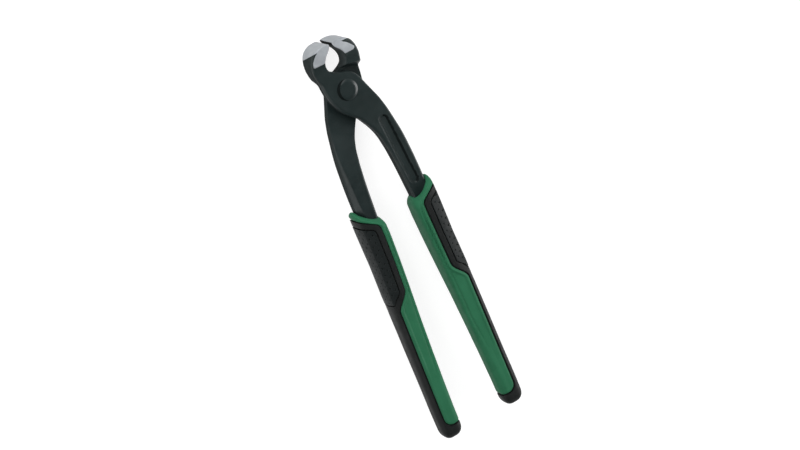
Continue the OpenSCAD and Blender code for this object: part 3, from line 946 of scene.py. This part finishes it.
# Lighter, matter copy of the forged steel for the throat's walls: painted light
THROAT_PAINTED_LIGHT_STEEL = finish_material(
    "throat_painted_light_steel", low=(0.038, 0.047, 0.047), high=(0.048, 0.058, 0.058), rough=(0.75, 0.85),
    grain=2600, grain_height=0.00003, specular=0.08,
)
# Lighter copy of the forged steel with a weaker reflection for the side faces and the panel's inner wall:
# painted light
SIDE_PAINTED_LIGHT_STEEL = finish_material(
    "side_painted_light_steel", low=(0.011, 0.016, 0.016), high=(0.015, 0.020, 0.020), rough=(0.7, 0.8),
    grain=2600, grain_height=0.00003, specular=0.06,
)
# Near-black steel put where shade falls: painted shade on the slot, the panel's outer wall, the lever's caps
# and the rivet's rim
PAINTED_SHADE_STEEL = finish_material(
    "painted_shade_steel", low=(0.004, 0.006, 0.006), high=(0.005, 0.007, 0.007), rough=(0.7, 0.8),
    grain=2600, grain_height=0.00002, specular=0.03,
)
RIVET_STEEL = finish_material(
    "rivet_steel", low=(0.0075, 0.013, 0.013), high=(0.0105, 0.017, 0.017), rough=(0.32, 0.4),
    grain=2600, grain_height=0.00001, specular=0.3,
)
GREEN_PLASTIC = finish_material(
    "green_plastic", low=(0.019, 0.104, 0.051), high=(0.022, 0.116, 0.058), rough=(0.5, 0.6),
    grain=3400, grain_height=0.000015, specular=0.06,
)
BLACK_PLASTIC = finish_material(
    "black_plastic", low=(0.0065, 0.0078, 0.0076), high=(0.0085, 0.0098, 0.0096), rough=(0.5, 0.6),
    grain=3000, grain_height=0.00003, specular=0.13,
)
DOTTED_RUBBER = finish_material(
    "dotted_rubber", low=(0.0045, 0.007, 0.007), high=(0.007, 0.0095, 0.0095), rough=(0.5, 0.6),
    grain=2600, grain_height=0.00004, specular=0.16,
)


# Pieces

MIRRORED = (-1, 1, 1)
TURNED = (-1, 1, -1)
STEELS = [BLACK_STEEL, GROUND_STEEL, THROAT_PAINTED_LIGHT_STEEL, SIDE_PAINTED_LIGHT_STEEL, PAINTED_SHADE_STEEL]

front_lever = lever_mesh(OUTER_LOBE_TILT)
back_lever = lever_mesh(-OUTER_LOBE_TILT)
piece("front_lever_forging", front_lever, "front_lever", "front_half", "black_steel", STEELS)
piece("back_lever_forging", back_lever, "back_lever", "back_half", "black_steel", STEELS, TURNED)
piece("joint_rivet", rivet_mesh(), "pivot_rivet", "front_half", "rivet_steel", [RIVET_STEEL, PAINTED_SHADE_STEEL])

GRIP_PARTS = [
    ("sleeve", sleeve_mesh(), "green_plastic", GREEN_PLASTIC),
    ("overmould", overmould_mesh(), "black_plastic", BLACK_PLASTIC),
    ("pad", pad_mesh(), "dotted_rubber", DOTTED_RUBBER),
]
SIDES_OF_TOOL = [("right", "front_half", (1, 1, 1)), ("left", "back_half", MIRRORED)]
for side, body, turn in SIDES_OF_TOOL:
    for part, mesh, slot, material in GRIP_PARTS:
        name = f"{side}_{part}_moulding"
        node = f"{side}_grip_{part}"
        piece(name, mesh.copy(), node, body, slot, [material], turn, SHARP_MOULDED)


# Stage: a white floor that keeps the shadow, a sky that is lighter at the horizon, and three soft lights

# Half size of the floor in metres, its surface, and the greys of the sky between two heights
FLOOR_REACH = 4
FLOOR_SEGMENTS = 8
FLOOR_GREY = 0.3
FLOOR_ROUGH = 0.9
FLOOR_GLOW = 0.82
SKY_HORIZON = 0.4
SKY_ZENITH = 0.05
SKY_FADE = [0.1, 0.6]

# Direction to the camera, turn of the tool's long axis in the picture, and the pivot's place in it.
# Lengths are millimetres, and the clip end is metres
VIEW = Vector((-0.285, 0.300, 0.910)).normalized()
AXIS_TURN = math.radians(112.97)
VIEW_DISTANCE = 1536
PIVOT_PX = (343.6, 88.6)
IMAGE = (800, 450)
LENS = 120
SENSOR = 36
CLIP_END = 100

# Name, direction from the frame's origin, distance and size in metres, power in watts
LIGHTS = [
    ("left_light", (-0.75, -0.1, 0.6), 1.6, 1.4, 18),
    ("right_light", (0.88, -0.27, 0.38), 1.6, 1.4, 32),
    ("top_light", (-0.1, 0.85, 0.5), 0.8, 0.8, 7),
]


def make_floor():
    bm = bmesh.new()
    bmesh.ops.create_grid(bm, x_segments=FLOOR_SEGMENTS, y_segments=FLOOR_SEGMENTS, size=FLOOR_REACH)
    mesh = bpy.data.meshes.new("floor")
    bm.to_mesh(mesh)
    bm.free()
    floor = bpy.data.objects.new("floor", mesh)
    bpy.context.scene.collection.objects.link(floor)
    material, nodes, links, shader = new_material("floor")
    shader.inputs["Base Color"].default_value = (FLOOR_GREY, FLOOR_GREY, FLOOR_GREY, 1)
    shader.inputs["Roughness"].default_value = FLOOR_ROUGH
    shader.inputs["Specular IOR Level"].default_value = 0
    path = nodes.new("ShaderNodeLightPath")
    seen = path.outputs["Is Camera Ray"]
    for ray in ("Is Glossy Ray", "Is Transmission Ray"):
        either = nodes.new("ShaderNodeMath")
        either.operation = "MAXIMUM"
        links.new(seen, either.inputs[0])
        links.new(path.outputs[ray], either.inputs[1])
        seen = either.outputs[0]
    glow = nodes.new("ShaderNodeMath")
    glow.operation = "MULTIPLY"
    glow.inputs[1].default_value = FLOOR_GLOW
    links.new(seen, glow.inputs[0])
    links.new(glow.outputs[0], shader.inputs["Emission Strength"])
    shader.inputs["Emission Color"].default_value = (1, 1, 1, 1)
    mesh.materials.append(material)


def make_sky():
    world = bpy.data.worlds.new("sky")
    bpy.context.scene.world = world
    world.use_nodes = True
    nodes, links = world.node_tree.nodes, world.node_tree.links
    background = nodes["Background"]
    where = nodes.new("ShaderNodeTexCoord")
    split = nodes.new("ShaderNodeSeparateXYZ")
    links.new(where.outputs["Generated"], split.inputs[0])
    colour = background.inputs["Color"]
    ramp(nodes, links, split.outputs["Z"], SKY_HORIZON, SKY_ZENITH, colour, *SKY_FADE)


def camera_axes():
    """The camera's right and up, with the tool's long axis turned by an angle in the picture."""
    along = Vector((0, 1, 0))
    along = (along - VIEW * along.dot(VIEW)).normalized()
    side = VIEW.cross(along)
    right = along * math.cos(AXIS_TURN) - side * math.sin(AXIS_TURN)
    up = along * math.sin(AXIS_TURN) + side * math.cos(AXIS_TURN)
    return right, up


def make_camera():
    right, up = camera_axes()
    focal = LENS / SENSOR * IMAGE[0]
    aside = (PIVOT_PX[0] - IMAGE[0] / 2) / focal * VIEW_DISTANCE
    above = (IMAGE[1] / 2 - PIVOT_PX[1]) / focal * VIEW_DISTANCE
    place = Vector(PIVOT) + (VIEW * VIEW_DISTANCE - right * aside - up * above) * MM
    data = bpy.data.cameras.new("camera")
    data.lens = LENS
    data.sensor_width = SENSOR
    data.clip_end = CLIP_END
    camera = bpy.data.objects.new("camera", data)
    camera.matrix_world = Matrix((
        (right.x, up.x, VIEW.x, place.x),
        (right.y, up.y, VIEW.y, place.y),
        (right.z, up.z, VIEW.z, place.z),
        (0, 0, 0, 1),
    ))
    bpy.context.scene.collection.objects.link(camera)
    bpy.context.scene.camera = camera


def make_light(name, way, distance, size, power):
    """Soft round light that faces the frame's origin."""
    way = Vector(way).normalized()
    data = bpy.data.lights.new(name, "AREA")
    data.shape = "DISK"
    data.size = size
    data.energy = power
    light = bpy.data.objects.new(name, data)
    light.location = way * distance
    light.rotation_mode = "QUATERNION"
    light.rotation_quaternion = way.to_track_quat("Z", "Y")
    bpy.context.scene.collection.objects.link(light)


make_floor()
make_sky()
make_camera()
for light in LIGHTS:
    make_light(*light)
bpy.context.scene.view_settings.view_transform = "Standard"
